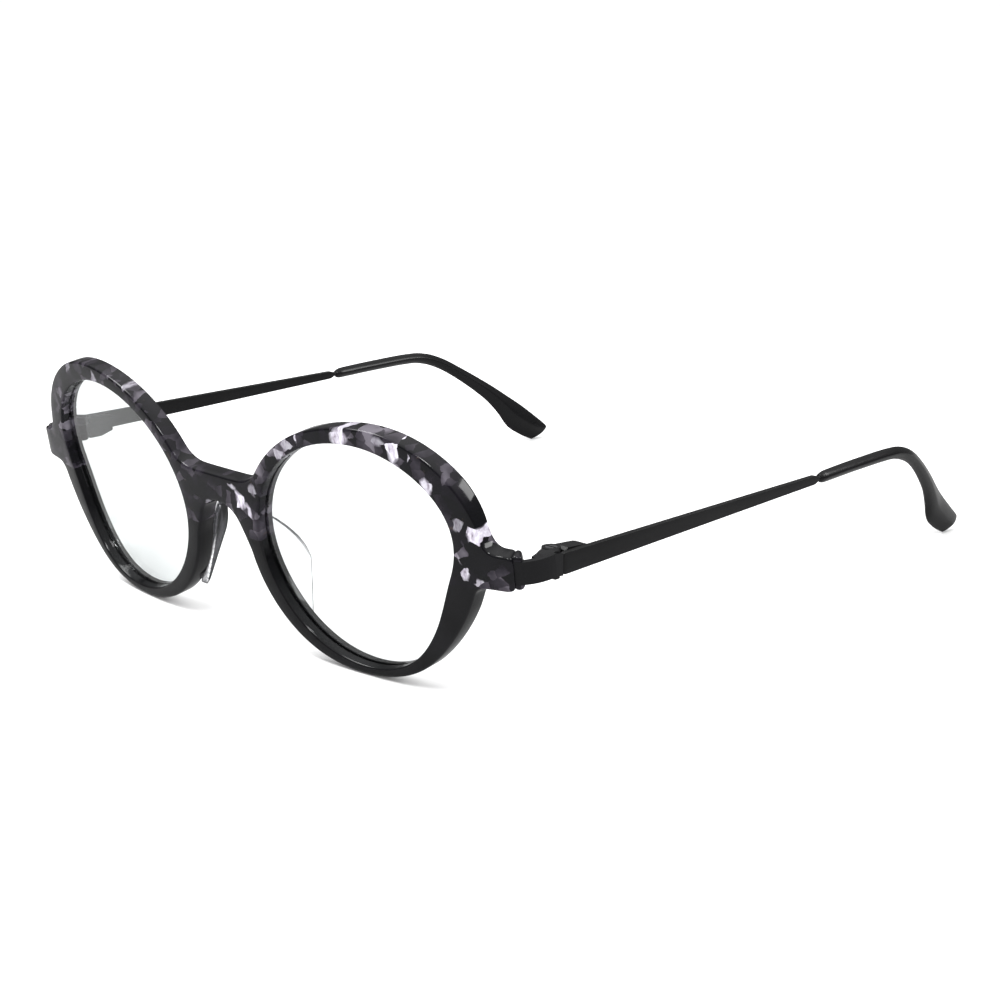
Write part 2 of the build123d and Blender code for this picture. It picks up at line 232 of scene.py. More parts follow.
def round_over(radius, depth, steps=4, rear=False):
    """(inset, depth) points of a quarter-round between a face and a wall."""
    points = []
    for i in range(steps + 1):
        angle = math.pi / 2 * i / steps
        side = radius * (1 - math.sin(angle))
        down = radius * (1 - math.cos(angle))
        points.append((side, depth + down) if not rear else (side, depth - down))
    return points if not rear else points[::-1]


FILL_MARGIN = 0.55


def fill_points(loops, gap, margin):
    """Inside points for a face, on a grid, clear of its outlines."""
    low_x = min(p.x for p in loops[0])
    high_x = max(p.x for p in loops[0])
    low_y = min(p.y for p in loops[0])
    high_y = max(p.y for p in loops[0])
    edge = np.array([(p.x, p.y) for loop in loops for p in loop])
    points = []
    for x in np.arange(low_x, high_x, gap):
        for y in np.arange(low_y, high_y, gap):
            point = Vector((x, y))
            if np.min(np.hypot(edge[:, 0] - x, edge[:, 1] - y)) < margin:
                continue
            if inside(point, loops[0]) and not any(inside(point, hole) for hole in loops[1:]):
                points.append(point)
    return points


def walls(loop, profile, place, verts, faces):
    """Adds one outline's wall, and gives its first and last ring as (start, outline, depth)."""
    rings = []
    for amount, depth in profile:
        ring = inset(loop, amount)
        rings.append((len(verts), ring, depth))
        verts += [place(p.x, p.y, depth) for p in ring]
    count = len(loop)
    for (a, _, _), (b, _, _) in zip(rings, rings[1:]):
        for i in range(count):
            j = (i + 1) % count
            faces.append((a + i, b + i, b + j, a + j))
    return rings[0], rings[-1]


def cover(name, ends, place, grid, flip, verts, faces):
    """Adds the face between an outline and its holes. A triangle inside one hole is left out."""
    depth = ends[0][2]
    index = []
    coords = []
    edges = []
    for start, ring, _ in ends:
        base = len(coords)
        coords += ring
        index += range(start, start + len(ring))
        edges += [(base + i, base + (i + 1) % len(ring)) for i in range(len(ring))]
    ring_of = [k for k, (_, ring, _) in enumerate(ends) for _ in ring]
    for p in fill_points([ring for _, ring, _ in ends], grid, FILL_MARGIN * grid):
        index.append(len(verts))
        verts.append(place(p.x, p.y, depth))
        coords.append(p)
        ring_of.append(0)
    out = delaunay_2d_cdt(coords, edges, [], 1, 1e-6)
    if any(not origin for origin in out[3]):
        raise ValueError(f"{name}: an inset outline crosses itself")
    origins = [origin[0] for origin in out[3]]
    for tri in out[2]:
        rings_met = {ring_of[origins[i]] for i in tri}
        if rings_met == {0} or len(rings_met) > 1:
            ids = [index[origins[i]] for i in tri]
            faces.append(ids[::-1] if flip else ids)


def slab(name, loops, profiles, place, grid=1.6):
    """A closed plate with an outline and holes, and rounded edges given by profiles."""
    verts = []
    faces = []
    ends = [walls(loop, profile, place, verts, faces) for loop, profile in zip(loops, profiles)]
    cover(name, [first for first, _ in ends], place, grid, False, verts, faces)
    cover(name, [last for _, last in ends], place, grid, True, verts, faces)
    return made(name, verts, faces)


SHARP_ANGLE = 40
TIP_SHARP_ANGLE = 50
CAD_SHARP_ANGLE = 30


def made(name, verts, faces, smooth=SHARP_ANGLE):
    """A mesh object from vertices and faces, smooth but for its sharp edges."""
    mesh = bpy.data.meshes.new(name)
    mesh.from_pydata(verts, [], faces)
    mesh.validate()
    piece = bpy.data.objects.new(name, mesh)
    bpy.context.scene.collection.objects.link(piece)
    work = bmesh.new()
    work.from_mesh(mesh)
    bmesh.ops.remove_doubles(work, verts=work.verts, dist=1e-7)
    bmesh.ops.recalc_face_normals(work, faces=work.faces)
    work.to_mesh(mesh)
    work.free()
    shade(mesh, smooth)
    return piece


def shade(mesh, smooth=SHARP_ANGLE):
    """Smooth shading that keeps edges sharper than an angle in degrees."""
    mesh.shade_smooth()
    mesh.set_sharp_from_angle(angle=math.radians(smooth))


def cut_at_split(piece, name, keep_upper, side=0):
    """A closed copy of the part of a piece above or below the lamination plane."""
    mesh = piece.data.copy()
    part = bpy.data.objects.new(name, mesh)
    bpy.context.scene.collection.objects.link(part)
    work = bmesh.new()
    work.from_mesh(mesh)
    origin = bent_front(0.0, SPLIT_UP, 0.0)
    normal = Vector((0, -math.sin(TILT), math.cos(TILT)))
    cut_closed(work, origin, normal if keep_upper else -normal)
    if side:
        cut_closed(work, Vector((0, 0, 0)), Vector((side, 0, 0)))
    bmesh.ops.recalc_face_normals(work, faces=work.faces)
    work.to_mesh(mesh)
    work.free()
    shade(mesh)
    return part


def cut_closed(work, origin, normal):
    """Cuts away what is behind a plane and closes each opening with its own face."""
    geometry = work.verts[:] + work.edges[:] + work.faces[:]
    bmesh.ops.bisect_plane(work, geom=geometry, dist=1e-7, plane_co=origin, plane_no=normal, clear_inner=True)
    bmesh.ops.remove_doubles(work, verts=work.verts, dist=1e-6)
    following = {}
    for edge in work.edges:
        if edge.is_boundary:
            loop = edge.link_loops[0]
            following[loop.link_loop_next.vert] = loop.vert
    covers = []
    while following:
        start, here = following.popitem()
        ring = [start]
        while here in following:
            ring.append(here)
            here = following.pop(here)
        if len(ring) > 2:
            covers.append(work.faces.new(ring))
    bmesh.ops.triangulate(work, faces=covers)


# ---------------------------------------------------------------- node helpers

def material(name):
    """A new node material and its tree, with no shader yet."""
    made_material = bpy.data.materials.new(name)
    made_material.use_nodes = True
    made_material.node_tree.nodes.clear()
    return made_material, made_material.node_tree


def node(tree, kind, inputs=None, **settings):
    """A node with its settings, and its inputs set or linked."""
    made_node = tree.nodes.new(kind)
    for key, value in settings.items():
        setattr(made_node, key, value)
    for key, value in (inputs or {}).items():
        socket = made_node.inputs[key]
        if isinstance(value, bpy.types.NodeSocket):
            tree.links.new(value, socket)
        else:
            socket.default_value = value
    return made_node


def math_node(tree, operation, a, b):
    """Output of a maths node."""
    return node(tree, "ShaderNodeMath", {0: a, 1: b}, operation=operation).outputs[0]


def vector_math(tree, operation, a, b):
    """Output of a vector sum, difference or product."""
    return node(tree, "ShaderNodeVectorMath", {0: a, 1: b}, operation=operation).outputs[0]


def mix_colour(tree, factor, a, b):
    """Output of a colour mix."""
    made_node = node(tree, "ShaderNodeMix", data_type="RGBA")
    for socket, value in ((0, factor), (6, a), (7, b)):
        if isinstance(value, bpy.types.NodeSocket):
            tree.links.new(value, made_node.inputs[socket])
        else:
            made_node.inputs[socket].default_value = value
    return made_node.outputs[2]


def ramp(tree, value, stops):
    """Output of a colour ramp with (place, grey or colour) stops."""
    made_node = node(tree, "ShaderNodeValToRGB", {0: value})
    elements = made_node.color_ramp.elements
    while len(elements) < len(stops):
        elements.new(0.5)
    for element, (place, tone) in zip(elements, stops):
        element.position = place
        element.color = tone if isinstance(tone, tuple) else (tone, tone, tone, 1)
    return made_node.outputs[0]


def noise(tree, coordinates, scale, detail=3.0, rough=0.5):
    """Output of a noise texture."""
    inputs = {"Vector": coordinates, "Scale": scale, "Detail": detail, "Roughness": rough}
    return node(tree, "ShaderNodeTexNoise", inputs).outputs["Fac"]


def object_space(tree):
    """Coordinates fixed to the piece, in metres."""
    return node(tree, "ShaderNodeTexCoord").outputs["Object"]


def output(tree, shader):
    """Wires a shader to the material's surface."""
    node(tree, "ShaderNodeOutputMaterial", {"Surface": shader})


def bump(tree, height, strength, distance):
    """Normal from a height."""
    inputs = {"Height": height, "Strength": strength, "Distance": distance}
    return node(tree, "ShaderNodeBump", inputs).outputs[0]


# ---------------------------------------------------------------- materials

def polish(tree, where, low, high):
    """Roughness of polished acetate: faint wipe marks on a clean gloss."""
    marks = noise(tree, where, 900.0, 2.0)
    cloud = noise(tree, where, 60.0, 2.0)
    both = math_node(tree, "MULTIPLY", marks, cloud)
    return node(tree, "ShaderNodeMapRange", {0: both, 1: 0.15, 2: 0.4, 3: low, 4: high}).outputs[0]


def acetate_black():
    """Solid gloss black acetate."""
    made_material, tree = material("acetate_black_gloss")
    where = object_space(tree)
    tone = ramp(tree, noise(tree, where, 140.0, 4.0), (
        (0.3, (0.0025, 0.0025, 0.003, 1)),
        (0.75, (0.006, 0.006, 0.007, 1)),
    ))
    shader = node(tree, "ShaderNodeBsdfPrincipled", {
        "Base Color": tone,
        "Roughness": polish(tree, where, 0.06, 0.13),
        "Specular IOR Level": 0.25,
        "Normal": bump(tree, noise(tree, where, 45.0, 1.0), 0.12, 0.0006),
    })
    output(tree, shader.outputs[0])
    return made_material


# Clear windows in the mottled acetate: (across, up, half width, half height, clearness).
WINDOWS = (
    (35.4, 22.2, 1.7, 1.9, 0.95),
    (46.4, 20.8, 1.3, 1.7, 0.95),
    (49.3, 20.2, 0.5, 1.1, 0.9),
    (46.6, 18.2, 1.0, 0.9, 0.6),
    (48.6, 25.2, 2.2, 0.9, 0.95),
    (55.0, 22.6, 1.9, 0.8, 0.55),
    (52.2, 16.2, 1.0, 1.4, 0.8),
    (43.3, 22.2, 1.2, 0.8, 0.35),
    (60.6, 7.9, 1.1, 1.5, 0.95),
    (57.6, 9.5, 1.1, 1.1, 0.35),
    (63.2, 9.4, 0.7, 0.9, 0.35),
    (58.6, 1.2, 0.5, 1.2, 0.7),
    (60.6, -0.4, 1.2, 0.5, 0.5),
    (57.0, 3.5, 0.6, 1.2, 0.4),
    (21.6, 18.9, 1.4, 0.8, 0.5),
    (20.0, 16.6, 1.3, 0.6, 0.5),
    (24.6, 20.4, 0.5, 0.9, 0.8),
    (16.9, 16.2, 0.5, 1.0, 0.6),
    (13.8, 2.4, 1.6, 1.8, 0.95),
    (11.0, 8.0, 0.6, 1.2, 0.35),
    (7.0, 5.6, 1.5, 1.6, 0.95),
    (9.0, 4.0, 0.6, 1.5, 0.8),
    (5.4, 8.2, 1.2, 0.6, 0.5),
    (-3.0, 1.6, 1.0, 2.0, 0.85),
    (-1.6, 0.2, 0.5, 1.2, 0.6),
    (-6.2, 12.2, 0.7, 1.6, 0.7),
    (-7.4, 15.6, 1.0, 1.1, 0.85),
    (-12.6, 16.8, 0.6, 1.9, 0.85),
    (-10.0, 18.0, 0.5, 1.6, 0.45),
    (-15.4, 18.4, 0.6, 1.2, 0.5),
    (-21.4, 22.6, 1.0, 1.2, 0.7),
    (-25.5, 22.0, 0.9, 0.8, 0.4),
    (-36.5, 21.8, 0.8, 1.2, 0.35),
    (-47.5, 22.0, 1.0, 1.2, 0.25),
    (-12.0, 1.0, 0.5, 1.6, 0.5),
)
CELLS_PER_MM = 0.5


def flat_space(tree):
    """Coordinates of the flat-drawn front, in millimetres."""
    turned = node(tree, "ShaderNodeMapping", {
        "Vector": object_space(tree),
        "Location": (0.0, -CENTRE_BACK, -LENS_HEIGHT),
        "Scale": (1 / MM, 1 / MM, 1 / MM),
    }).outputs[0]
    return node(tree, "ShaderNodeMapping", {"Vector": turned, "Rotation": (-TILT, 0.0, 0.0)}).outputs[0]


def window_field(tree, place):
    """How clear the acetate is at a place, from its windows."""
    clear = None
    for across, up, half_width, half_height, most in WINDOWS:
        away = vector_math(tree, "SUBTRACT", place, (across, 0.0, up))
        share = vector_math(tree, "MULTIPLY", away, (1 / half_width, 0.0, 1 / half_height))
        reach = node(tree, "ShaderNodeVectorMath", {0: share}, operation="LENGTH").outputs["Value"]
        inputs = {0: reach, 1: 1.15, 2: 0.85, 3: 0.0, 4: most}
        level = node(tree, "ShaderNodeMapRange", inputs).outputs[0]
        clear = level if clear is None else math_node(tree, "MAXIMUM", clear, level)
    return clear


def wandering(tree, place):
    """A place pushed about a little, so that the sheets have soft uneven edges."""
    warp = node(tree, "ShaderNodeTexNoise", {"Vector": place, "Scale": 0.45, "Detail": 3.0})
    shift = vector_math(tree, "SUBTRACT", warp.outputs["Color"], (0.5, 0.5, 0.5))
    small = node(tree, "ShaderNodeVectorMath", {0: shift, "Scale": 1.3}, operation="SCALE").outputs[0]
    return vector_math(tree, "ADD", place, small)


def window_place(tree, place, cells):
    """Half way from a place to the middle of its cell, which gives the windows angular edges."""
    made_node = node(tree, "ShaderNodeMix", data_type="VECTOR")
    made_node.inputs[0].default_value = 0.5
    tree.links.new(place, made_node.inputs[4])
    tree.links.new(cells.outputs["Position"], made_node.inputs[5])
    return made_node.outputs[1]


def smoky_ground(tree, place, cells):
    """Charcoal with smoky purple-grey sheets and a little brown."""
    chance = node(tree, "ShaderNodeSeparateColor", {0: cells.outputs["Color"]}).outputs[0]
    level = mix_colour(tree, 0.4, noise(tree, place, 0.16, 2.0), chance)
    smoke = ramp(tree, level, (
        (0.38, (0.004, 0.004, 0.005, 1)),
        (0.54, (0.007, 0.006, 0.009, 1)),
        (0.62, (0.023, 0.020, 0.027, 1)),
        (0.69, (0.048, 0.042, 0.053, 1)),
        (0.76, (0.140, 0.128, 0.152, 1)),
    ))
    brown = ramp(tree, noise(tree, place, 0.5, 2.0), ((0.7, 0.0), (0.8, 0.3)))
    return mix_colour(tree, brown, smoke, (0.10, 0.065, 0.05, 1))


def acetate_mottled():
    """Layered translucent acetate: charcoal with smoky purple sheets and clear lavender windows."""
    made_material, tree = material("acetate_mottled_gloss")
    where = object_space(tree)
    moved = wandering(tree, flat_space(tree))
    flattened = vector_math(tree, "MULTIPLY", moved, (1.0, 0.45, 1.0))
    layout = {"Vector": flattened, "Scale": CELLS_PER_MM, "Randomness": 1.0}
    cells = node(tree, "ShaderNodeTexVoronoi", layout)
    clear = window_field(tree, window_place(tree, flattened, cells))
    streaks = node(tree, "ShaderNodeMapping", {"Vector": moved, "Scale": (1.0, 0.3, 0.35)}).outputs[0]
    fibre = noise(tree, streaks, 1.6, 5.0, 0.6)
    lavender = ramp(tree, fibre, (
        (0.28, (0.16, 0.12, 0.14, 1)),
        (0.42, (0.46, 0.42, 0.50, 1)),
        (0.62, (0.78, 0.76, 0.84, 1)),
    ))
    veined = math_node(tree, "MULTIPLY", clear, ramp(tree, fibre, ((0.25, 0.55), (0.45, 1.0))))
    shader = node(tree, "ShaderNodeBsdfPrincipled", {
        "Base Color": mix_colour(tree, veined, smoky_ground(tree, moved, cells), lavender),
        "Roughness": polish(tree, where, 0.05, 0.12),
        "Specular IOR Level": 0.25,
        "Normal": bump(tree, noise(tree, where, 45.0, 1.0), 0.12, 0.0006),
    })
    output(tree, shader.outputs[0])
    return made_material


def see_through(name, tint, painted_edge_shade, roughness, head_on, grazing):
    """A clear wall: what is behind shows through it, under a mirror veil that grows with the slant.
    Its slanted edges take a painted edge shade, darker than the clear tint, which stands in for the dark
    surroundings that a thick clear edge refracts."""
    made_material, tree = material(name)
    where = object_space(tree)
    smear = noise(tree, where, 70.0, 3.0)
    span = {0: smear, 1: 0.3, 2: 0.7, 3: roughness, 4: roughness * 2.2}
    veil = node(tree, "ShaderNodeMapRange", span).outputs[0]
    slant = node(tree, "ShaderNodeLayerWeight", {"Blend": 0.5}).outputs["Facing"]
    # Painted edge shade: the see-through colour goes from the clear tint head-on to the darker edge shade at
    # a slant, in place of refraction.
    edge = ramp(tree, slant, ((0.3, tint), (0.62, painted_edge_shade)))
    clear = node(tree, "ShaderNodeBsdfTransparent", {"Color": edge})
    mirror = node(tree, "ShaderNodeBsdfGlossy", {"Color": (1, 1, 1, 1), "Roughness": veil})
    steep = math_node(tree, "POWER", slant, 4.0)
    share = node(tree, "ShaderNodeMapRange", {0: steep, 1: 0.0, 2: 1.0, 3: head_on, 4: grazing}).outputs[0]
    mixed = node(tree, "ShaderNodeMixShader", {0: share, 1: clear.outputs[0], 2: mirror.outputs[0]})
    output(tree, mixed.outputs[0])
    return made_material


def coated_metal(name, tone, low, high, grain):
    """Black-coated metal: fine even grain, slightly uneven sheen."""
    made_material, tree = material(name)
    where = object_space(tree)
    fine = noise(tree, where, grain, 3.0)
    broad = noise(tree, where, 55.0, 3.0)
    dark = tuple(0.75 * c for c in tone) + (1,)
    light = tuple(1.35 * c for c in tone) + (1,)
    shader = node(tree, "ShaderNodeBsdfPrincipled", {
        "Base Color": ramp(tree, broad, ((0.3, dark), (0.7, light))),
        "Roughness": node(tree, "ShaderNodeMapRange", {0: fine, 1: 0.3, 2: 0.7, 3: low, 4: high}).outputs[0],
        "Specular IOR Level": 0.22,
        "Normal": bump(tree, fine, 0.08, 0.00001),
    })
    output(tree, shader.outputs[0])
    return made_material


def steel(name, tone, low, high):
    """Bare turned steel with fine rings of brushing."""
    made_material, tree = material(name)
    where = object_space(tree)
    stretched = node(tree, "ShaderNodeMapping", {"Vector": where, "Scale": (1.0, 1.0, 9.0)}).outputs[0]
    lines = noise(tree, stretched, 2600.0, 2.0)
    dark = tuple(0.8 * c for c in tone) + (1,)
    shader = node(tree, "ShaderNodeBsdfPrincipled", {
        "Base Color": ramp(tree, lines, ((0.3, dark), (0.7, tone + (1,)))),
        "Metallic": 1.0,
        "Roughness": node(tree, "ShaderNodeMapRange", {0: lines, 1: 0.3, 2: 0.7, 3: low, 4: high}).outputs[0],
    })
    output(tree, shader.outputs[0])
    return made_material


def put(piece, finish):
    """Gives a piece one material on all its faces."""
    piece.data.materials.clear()
    piece.data.materials.append(finish)


# ---------------------------------------------------------------- the front

FRONT_NODES = ("brow_acetate", "rim_lower_left", "rim_lower_right")
OUTLINE_SPACING = 0.5
OUTER_ROUND = 0.55
INNER_ROUND = 0.4
GROOVE = (1.74, 2.36)
GROOVE_DEPTH = 0.62

mottled = acetate_mottled()
black = acetate_black()

outlines = sorted(front_outlines(FRONT_NODES), key=len, reverse=True)
outlines = [resampled(loop, OUTLINE_SPACING) for loop in outlines]
outlines.sort(key=lambda loop: -abs(area(loop)))
if area(outlines[0]) < 0:
    outlines = [loop[::-1] for loop in outlines]

edge_profile = round_over(OUTER_ROUND, 0.0) + round_over(OUTER_ROUND, SHEET_THICK, rear=True)
eye_profile = round_over(INNER_ROUND, 0.0)
eye_profile += [(0.0, GROOVE[0]), (GROOVE_DEPTH, GROOVE[0]), (GROOVE_DEPTH, GROOVE[1]), (0.0, GROOVE[1])]
eye_profile += round_over(INNER_ROUND, SHEET_THICK, rear=True)
whole = slab("front_whole", outlines, [edge_profile] + [eye_profile] * (len(outlines) - 1), bent_front)

brow = cut_at_split(whole, "brow", True)
lower_left = cut_at_split(whole, "rim_lower_l", False, 1)
lower_right = cut_at_split(whole, "rim_lower_r", False, -1)
bpy.data.objects.remove(whole)
for piece, cad, finish, slot in (
    (brow, "brow_acetate", mottled, "acetate_mottled"),
    (lower_left, "rim_lower_left", black, "acetate_black"),
    (lower_right, "rim_lower_right", black, "acetate_black"),
):
    put(piece, finish)
    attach(piece, "front")
    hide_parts(cad)

# ---------------------------------------------------------------- lug heels

LUG_RANGE = (-1.6, 4.9)
HEEL_DEPTH = (0.62, SHEET_THICK)
HEEL_FROM = 66.6
HEEL_TURN = math.radians(43.0)
HEEL_ROUND = 0.7
HEEL_SPACING = 0.3
HEEL_SMOOTHING = 24


def rectangle(low, high):
    """Outline of an upright rectangle."""
    return [(low[0], low[1]), (high[0], low[1]), (high[0], high[1]), (low[0], high[1])]


def heel(name, side):
    """Rounded end of the lug behind the metal strip, round the corner."""
    end = TURN_ACROSS + TURN_RADIUS * (HEEL_TURN - TURN_START)
    corners = rectangle((HEEL_FROM, LUG_RANGE[0]), (end, LUG_RANGE[1]))
    outline = resampled(corners, HEEL_SPACING, HEEL_SMOOTHING)
    profile = round_over(HEEL_ROUND, HEEL_DEPTH[0]) + round_over(HEEL_ROUND, HEEL_DEPTH[1], rear=True)
    piece = slab(name, [outline], [profile], bent_front)
    if side < 0:
        mirrored(piece)
    return piece


def mirrored(piece):
    """Turns a piece made for the wearer's left into its right-hand twin."""
    for v in piece.data.vertices:
        v.co.x = -v.co.x
    piece.data.flip_normals()


for side, letter in ((1, "l"), (-1, "r")):
    piece = heel(f"lug_heel_{letter}", side)
    put(piece, mottled)
    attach(piece, "front")

# ---------------------------------------------------------------- finishes of the CAD nodes

# Clear tint, then painted edge shade: the second colour darkens slanted edges, faint on the lenses and near
# black on the pads, in place of refraction.
LENS_TINT_AND_EDGE_SHADE = ((0.985, 0.99, 0.99, 1), (0.9, 0.92, 0.92, 1))
PAD_TINT_AND_EDGE_SHADE = ((0.97, 0.97, 0.98, 1), (0.045, 0.045, 0.05, 1))
lens_clear = see_through("lens_clear_polished", *LENS_TINT_AND_EDGE_SHADE, 0.01, 0.07, 0.9)
pad_clear = see_through("pad_clear_polished", *PAD_TINT_AND_EDGE_SHADE, 0.05, 0.03, 0.15)
temple_metal = coated_metal("temple_matte_black", (0.0035, 0.0035, 0.004), 0.38, 0.5, 5200.0)
hinge_metal = coated_metal("hinge_satin_black", (0.005, 0.005, 0.006), 0.3, 0.42, 4200.0)
tip_black = coated_metal("tip_satin_black", (0.004, 0.004, 0.0045), 0.2, 0.27, 6500.0)
screw_steel = steel("screw_dark_steel", (0.22, 0.22, 0.23), 0.25, 0.4)
FINISHES = (
    ("lens", lens_clear),
    ("nose_pad", pad_clear),
    ("endpiece", hinge_metal),
    ("lug_rivets", screw_steel),
    ("hinge_front_leaf", hinge_metal),
    ("hinge_temple_leaf", hinge_metal),
    ("hinge_screw", screw_steel),
    ("temple_tip", tip_black),
    ("temple", temple_metal),
)
for name, finish in FINISHES:
    for side in ("left", "right"):
        shown = nodes[f"{name}_{side}"]
        put(shown, finish)
        shade(shown.data, CAD_SHARP_ANGLE)

# ---------------------------------------------------------------- temple tips, blades and nose pads

PLATE_MIDDLE = 70.06
PLATE_HALF = 0.55
# Tip stations: middle plane, top (back, up), bottom (back, up) and half thickness.
TIP_STATIONS = (
    (70.06, 88.95, 26.6, 88.95, 26.0, 0.3),
    (70.06, 89.15, 27.05, 89.15, 25.55, 0.75),
    (70.06, 89.9, 27.4, 89.9, 25.2, 1.05),
    (70.06, 91.8, 27.6, 91.8, 25.1, 1.22),
    (70.0, 101.0, 27.75, 101.0, 25.2, 1.32),
    (69.9, 112.6, 27.7, 112.6, 25.1, 1.32),
    (69.6, 118.9, 27.0, 117.9, 24.5, 1.32),
    (69.0, 124.8, 24.9, 123.3, 22.5, 1.32),
    (67.6, 131.4, 21.1, 129.4, 18.7, 1.32),
    (65.6, 138.7, 16.4, 136.2, 13.3, 1.36),
    (64.2, 143.6, 12.9, 139.9, 9.1, 1.42),
    (63.1, 148.2, 9.6, 142.7, 4.9, 1.45),
    (62.5, 153.4, 5.7, 147.0, 2.0, 1.4),
    (62.3, 156.6, 3.2, 150.6, 0.3, 1.2),
    (62.2, 157.2, 2.4, 151.3, 0.05, 0.9),
    (62.2, 156.9, 2.0, 152.0, 0.3, 0.5),
)
TIP_SQUARENESS = 1.45
TIP_SIDES = 40
TIP_STEPS = 6


def woven(values, steps):
    """Smooth curve through rows of values, by Catmull and Rom's rule."""
    rows = np.array(values, float)
    rows = np.vstack((2 * rows[0] - rows[1], rows, 2 * rows[-1] - rows[-2]))
    result = []
    for a, b, c, d in zip(rows, rows[1:], rows[2:], rows[3:]):
        for t in np.arange(steps) / steps:
            square = (2 * a - 5 * b + 4 * c - d) * t**2
            cube = (3 * b - a - 3 * c + d) * t**3
            result.append(0.5 * (2 * b + (c - a) * t + square + cube))
    result.append(rows[-2])
    return np.array(result)


def lofted(name, rings):
    """Closed mesh through rings of points, with a fan at each end."""
    count = len(rings[0])
    verts = [point for ring in rings for point in ring]
    faces = []
    for r in range(len(rings) - 1):
        for i in range(count):
            j = (i + 1) % count
            faces.append((r * count + i, r * count + j, (r + 1) * count + j, (r + 1) * count + i))
    for ring, base, flip in ((rings[0], 0, True), (rings[-1], (len(rings) - 1) * count, False)):
        centre = len(verts)
        verts.append(sum(ring, Vector((0, 0, 0))) / count)
        for i in range(count):
            j = (i + 1) % count
            faces.append((base + j, base + i, centre) if flip else (base + i, base + j, centre))
    return made(name, verts, faces, TIP_SHARP_ANGLE)


def tip(name):
    """Ear tip: a soft diamond section with a crease along its sides, widening to a paddle."""
    rings = []
    for across, top_back, top_up, low_back, low_up, half in woven(TIP_STATIONS, TIP_STEPS):
        top = Vector((top_back, top_up))
        low = Vector((low_back, low_up))
        middle = (top + low) / 2
        reach = (top - low) / 2
        ring = []
        for i in range(TIP_SIDES):
            angle = 2 * math.pi * i / TIP_SIDES
            out = math.copysign(abs(math.cos(angle)) ** (2 / TIP_SQUARENESS), math.cos(angle))
            rise = math.copysign(abs(math.sin(angle)) ** (2 / TIP_SQUARENESS), math.sin(angle))
            place = middle + reach * rise
            x = across + half * out
            ring.append(Vector((x * MM, (place.x + CENTRE_BACK) * MM, max(place.y, 0.0) * MM)))
        rings.append(ring)
    return lofted(name, rings)


BLADE_START = 14.15
BLADE_END = 88.6
BLADE_OUTLINE = (
    (BLADE_START, 24.5),
    (87.4, 25.4),
    (BLADE_END, 25.9),
    (BLADE_END, 26.7),
    (87.4, 27.2),
    (BLADE_START, 28.4),
)
BLADE_ROUND = 0.18
BLADE_SPACING = 0.3
BLADE_SMOOTHING = 4
WIRE_RADIUS = 0.5
WIRE_TIP_RADIUS = 0.3
WIRE_HEIGHT = 26.3
WIRE_SIDES = 16
# Wire stations: (back, radius).
WIRE_STATIONS = (
    (BLADE_END - 1.2, WIRE_TIP_RADIUS),
    (BLADE_END - 1.0, WIRE_RADIUS),
    (BLADE_END + 2.0, WIRE_RADIUS),
    (BLADE_END + 2.2, WIRE_TIP_RADIUS),
)
PAD_VOXEL = 0.0002
PAD_WEAR = 12


def blade(name):
    """Flat temple blade with softened edges."""
    outline = resampled(BLADE_OUTLINE, BLADE_SPACING, BLADE_SMOOTHING)
    thick = 2 * PLATE_HALF
    profile = round_over(BLADE_ROUND, 0.0, 3) + round_over(BLADE_ROUND, thick, 3, rear=True)

    def place(back, up, depth):
        return Vector(((PLATE_MIDDLE + PLATE_HALF - depth) * MM, (back + CENTRE_BACK) * MM, up * MM))

    return slab(name, [outline], [profile], place, grid=1.0)


def wire(name):
    """Round core wire that joins the blade to the tip."""
    rings = []
    for back, radius in WIRE_STATIONS:
        ring = []
        for i in range(WIRE_SIDES):
            angle = 2 * math.pi * i / WIRE_SIDES
            x = PLATE_MIDDLE + radius * math.cos(angle)
            up = WIRE_HEIGHT + radius * math.sin(angle)
            ring.append(Vector((x * MM, (back + CENTRE_BACK) * MM, up * MM)))
        rings.append(ring)
    return lofted(name, rings)


def softened(cad, name, voxel, passes):
    """A closed copy of a CAD node with its edges worn round."""
    mesh = nodes[cad].data.copy()
    piece = bpy.data.objects.new(name, mesh)
    bpy.context.scene.collection.objects.link(piece)
    remesh = piece.modifiers.new("remesh", "REMESH")
    remesh.mode = "VOXEL"
    remesh.voxel_size = voxel
    remesh.adaptivity = 0.0
    wear = piece.modifiers.new("wear", "SMOOTH")
    wear.factor = 0.5
    wear.iterations = passes
    bpy.context.view_layer.update()
    shown_piece = piece.evaluated_get(bpy.context.evaluated_depsgraph_get())
    shaped = bpy.data.meshes.new_from_object(shown_piece)
    piece.modifiers.clear()
    piece.data = shaped
    shaped.shade_smooth()
    return piece


for side, letter, word in ((1, "l", "left"), (-1, "r", "right")):
    tip_piece = tip(f"ear_tip_{letter}")
    blade_piece = blade(f"temple_blade_{letter}")
    wire_piece = wire(f"temple_wire_{letter}")
    for piece in (tip_piece, blade_piece, wire_piece):
        if side < 0:
            mirrored(piece)
        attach(piece, f"temple_{word}")
    put(tip_piece, tip_black)
    put(blade_piece, temple_metal)
    put(wire_piece, temple_metal)
    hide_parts(f"temple_tip_{word}")
    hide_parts(f"temple_{word}")
    pad_piece = softened(f"nose_pad_{word}", f"pad_{letter}", PAD_VOXEL, PAD_WEAR)
    put(pad_piece, pad_clear)
    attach(pad_piece, "front")
    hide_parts(f"nose_pad_{word}")

# ---------------------------------------------------------------- floor, light, camera

FLOOR_SIDES = 24
FLOOR_RADII = (0.5, 2.0, 8.0, 30.0)
FLOOR_GAP = 0.0001
FLOOR_IN_GLOSS = 0.38
WORLD_LEVEL = 1.15
AIM = (0, 0, 0.02)
# Lamps: (name, place, size, power).
LAMPS = (
    ("key", (-0.5, -0.35, 0.9), 0.4, 6.0),
    ("rim", (0.6, 0.7, 0.7), 0.35, 3.5),
    ("edge", (0.30, -0.45, 0.85), 0.16, 3.0),
)


